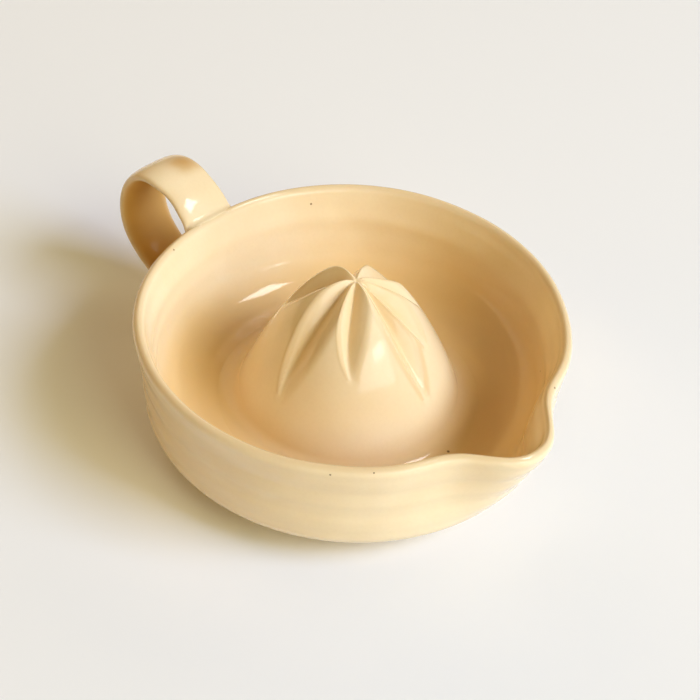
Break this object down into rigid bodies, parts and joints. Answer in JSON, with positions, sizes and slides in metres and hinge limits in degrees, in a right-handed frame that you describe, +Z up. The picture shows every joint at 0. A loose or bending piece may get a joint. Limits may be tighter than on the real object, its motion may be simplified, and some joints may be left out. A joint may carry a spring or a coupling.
{
  "type": "citrus juicer",
  "caption": "Glazed ceramic citrus juicer: a shallow bowl with a pulled pouring lip, a fluted reamer rising from its floor and a strap handle opposite the lip.",
  "frame": {"origin": "middle of the overall box's base, on the surface the foot stands on; the bowl's own axis is 11.85 mm from it towards the lip", "axes": "+X from the handle to the pouring lip, +Z up, +Y to the left when looking towards the lip"},
  "size_m": [0.1851, 0.14, 0.0622],
  "materials": {
    "bowl_glaze": "glossy cream glaze with sparse iron specks",
    "reamer_glaze": "glossy cream glaze with sparse iron specks",
    "handle_glaze": "glossy cream glaze"
  },
  "bodies": {
    "root": {"bowl": "bowl_glaze", "reamer": "reamer_glaze", "handle": "handle_glaze"}
  },
  "joints": []
}
